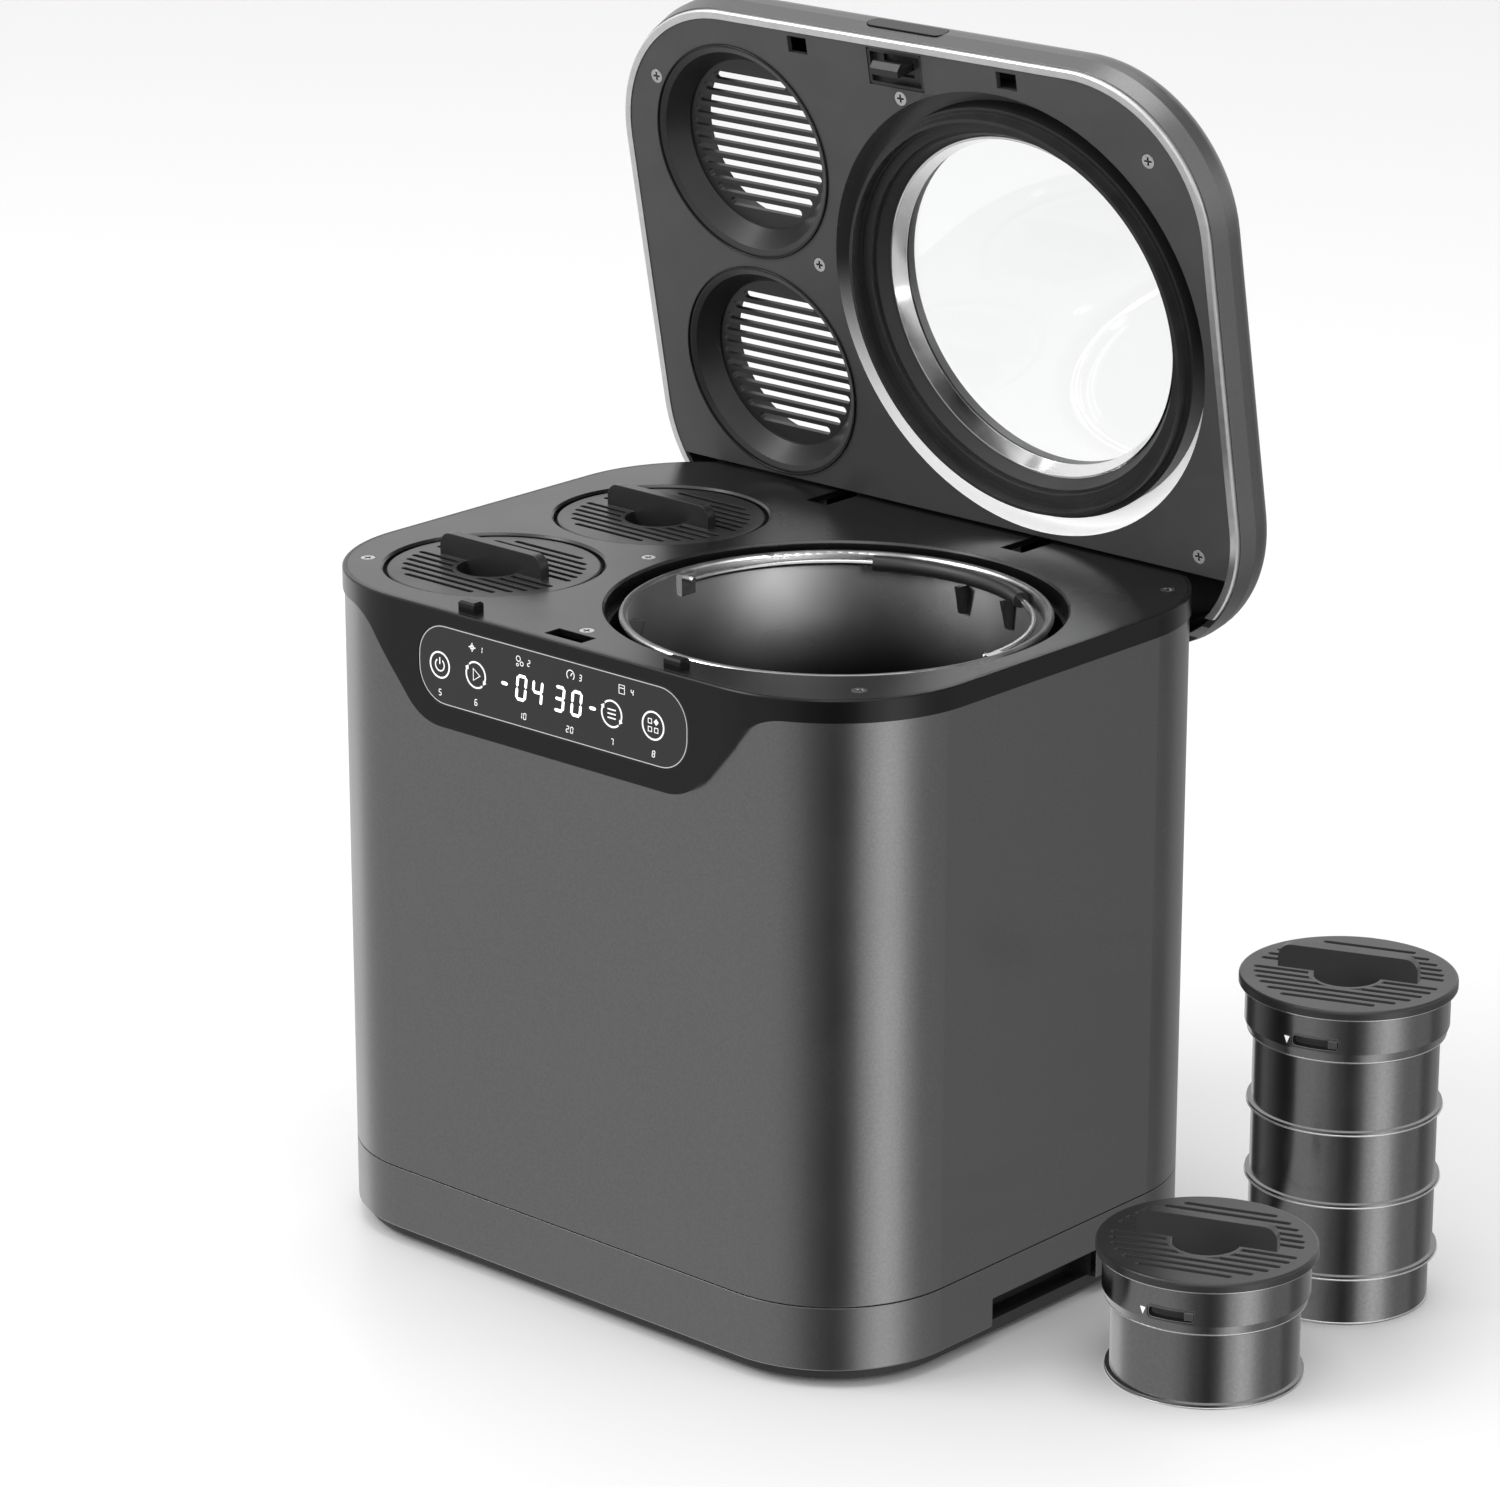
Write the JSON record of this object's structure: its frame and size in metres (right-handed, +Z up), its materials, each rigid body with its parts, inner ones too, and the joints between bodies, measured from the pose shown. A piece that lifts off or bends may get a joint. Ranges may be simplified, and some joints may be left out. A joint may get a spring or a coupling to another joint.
{
  "type": "electric food waste composter",
  "caption": "Electric kitchen composter with a hinged windowed lid, a lift-out stirred bucket and lift-out filter canisters, with its lid open.",
  "frame": {"origin": "middle of the machine's footprint on the bench, at the underside of its feet", "axes": "+Z up, +Y to the back, +X to the right of someone facing the display"},
  "size_m": [0.4715, 0.2974, 0.542],
  "materials": {
    "body_paint": "satin",
    "base_plastic": "matte",
    "gloss_black": "polished",
    "deck_plastic": "satin",
    "lid_plastic": "satin",
    "panel_plastic": "satin",
    "trim_silver": "satin",
    "black_plastic": "satin",
    "chrome_ring": "polished",
    "clear_glass": "polished",
    "seal_rubber": "matte",
    "foot_rubber": "matte",
    "steel": "brushed",
    "bucket_coating": "satin",
    "cast_metal": "satin",
    "circuit_board": "satin",
    "canister_metal": "satin",
    "gear_nylon": "satin",
    "cap_plastic": "satin"
  },
  "bodies": {
    "casing": {"body_shell": "body_paint", "feet": "foot_rubber", "base_tray": "base_plastic", "base_skirt": "body_paint", "front_fascia": "gloss_black", "top_deck": "deck_plastic", "touch_panel": "gloss_black", "display_module": "circuit_board", "lid_pegs": "gloss_black", "deck_screws": "steel", "hinge_brackets": "steel", "hinge_pin": "steel", "bucket_chamber": "black_plastic", "heater_ring": "cast_metal", "gearbox_housing": "cast_metal", "gearbox_cover": "cast_metal", "drive_bearings": "steel", "reduction_axle": "steel", "drive_motor": "steel", "front_filter_well": "black_plastic", "rear_filter_well": "black_plastic", "filter_plenum": "black_plastic", "blower_housing": "black_plastic", "air_duct": "black_plastic", "control_board": "circuit_board", "power_board": "circuit_board", "power_inlet": "black_plastic"},
    "lid": {"lid_shell": "lid_plastic", "lid_rim_trim": "trim_silver", "lid_inner_panel": "panel_plastic", "window_carrier": "black_plastic", "window_bezel": "chrome_ring", "window_glass": "clear_glass", "lid_seal": "seal_rubber", "front_lid_grille": "black_plastic", "rear_lid_grille": "black_plastic", "lid_screws": "steel", "latch_plate": "black_plastic", "hinge_arms": "cast_metal"},
    "release_button": {"release_button": "gloss_black"},
    "latch_hook": {"latch_hook": "black_plastic"},
    "bucket": {"bucket": "bucket_coating", "bucket_teeth": "black_plastic", "bucket_ears": "steel"},
    "bail": {"bail_wire": "steel", "bail_grip": "black_plastic"},
    "rotor": {"rotor": "bucket_coating"},
    "output_drive": {"drive_shaft": "steel", "output_gear": "gear_nylon"},
    "reduction_gear": {"reduction_gear": "gear_nylon"},
    "motor_pinion": {"motor_pinion": "steel"},
    "blower_impeller": {"blower_impeller": "black_plastic"},
    "front_canister": {"front_filter_cans": "canister_metal"},
    "front_canister_cap": {"front_filter_cap": "cap_plastic"},
    "rear_canister": {"rear_filter_cans": "canister_metal"},
    "rear_canister_cap": {"rear_filter_cap": "cap_plastic"},
    "tall_canister": {"tall_filter_cans": "canister_metal"},
    "tall_canister_cap": {"tall_filter_cap": "cap_plastic"},
    "short_canister": {"short_filter_cans": "canister_metal"},
    "short_canister_cap": {"short_filter_cap": "cap_plastic"}
  },
  "joints": [
    {"name": "lid_hinge", "type": "hinge", "parent": "casing", "child": "lid", "pos_m": [0, 0.1063, 0.2923], "axis": [-1, 0, 0], "range_deg": [-79.3, 0]},
    {"name": "release_button", "type": "slide", "parent": "lid", "child": "release_button", "axis": [0, 0.1857, -0.9826], "range_m": [0, 0.0025], "stiffness_N_per_m": 1200, "springref_m": -0.002},
    {"name": "latch_hook", "type": "slide", "parent": "lid", "child": "latch_hook", "axis": [0, 0.1857, -0.9826], "range_m": [0, 0.0025]},
    {"name": "bucket_lift", "type": "slide", "parent": "casing", "child": "bucket", "axis": [0, 0, 1], "range_m": [0, 0.195]},
    {"name": "bail_swing", "type": "hinge", "parent": "bucket", "child": "bail", "pos_m": [0.057, -0.0165, 0.3045], "axis": [1, 0, 0], "range_deg": [0, 180]},
    {"name": "rotor_spin", "type": "hinge", "parent": "bucket", "child": "rotor", "pos_m": [0.057, -0.0165, 0.16], "axis": [0, 0, 1], "continuous": true},
    {"name": "drive_spin", "type": "hinge", "parent": "casing", "child": "output_drive", "pos_m": [0.057, -0.0165, 0.1], "axis": [0, 0, 1], "continuous": true},
    {"name": "reduction_spin", "type": "hinge", "parent": "casing", "child": "reduction_gear", "pos_m": [0.00525, -0.0165, 0.1], "axis": [0, 0, 1], "continuous": true},
    {"name": "motor_spin", "type": "hinge", "parent": "casing", "child": "motor_pinion", "pos_m": [0.00525, 0.021, 0.09], "axis": [0, 0, 1], "continuous": true},
    {"name": "blower_spin", "type": "hinge", "parent": "casing", "child": "blower_impeller", "pos_m": [-0.0979, -0.0165, 0.08], "axis": [0, 0, 1], "continuous": true},
    {"name": "front_canister_lift", "type": "slide", "parent": "casing", "child": "front_canister", "axis": [0, 0, 1], "range_m": [0, 0.165]},
    {"name": "front_cap_turn", "type": "hinge", "parent": "front_canister", "child": "front_canister_cap", "pos_m": [-0.0979, -0.0709, 0.3], "axis": [0, 0, 1], "range_deg": [0, 20]},
    {"name": "rear_canister_lift", "type": "slide", "parent": "casing", "child": "rear_canister", "axis": [0, 0, 1], "range_m": [0, 0.165]},
    {"name": "rear_cap_turn", "type": "hinge", "parent": "rear_canister", "child": "rear_canister_cap", "pos_m": [-0.0979, 0.0378, 0.3], "axis": [0, 0, 1], "range_deg": [0, 20]},
    {"name": "tall_canister_lift", "type": "slide", "parent": "casing", "child": "tall_canister", "axis": [0, 0, 1], "range_m": [0, 0.1]},
    {"name": "tall_cap_turn", "type": "hinge", "parent": "tall_canister", "child": "tall_canister_cap", "pos_m": [0.243, 0.113, 0.05], "axis": [0, 0, 1], "range_deg": [0, 20]},
    {"name": "short_canister_lift", "type": "slide", "parent": "casing", "child": "short_canister", "axis": [0, 0, 1], "range_m": [0, 0.1]},
    {"name": "short_cap_turn", "type": "hinge", "parent": "short_canister", "child": "short_canister_cap", "pos_m": [0.25, 0.007, 0.05], "axis": [0, 0, 1], "range_deg": [0, 20]}
  ],
  "couplings": [
    {"joint": "latch_hook", "follows": "release_button", "ratio": 1},
    {"joint": "drive_spin", "follows": "rotor_spin", "ratio": 1},
    {"joint": "reduction_spin", "follows": "rotor_spin", "ratio": -3.6},
    {"joint": "motor_spin", "follows": "rotor_spin", "ratio": 14.4}
  ]
}
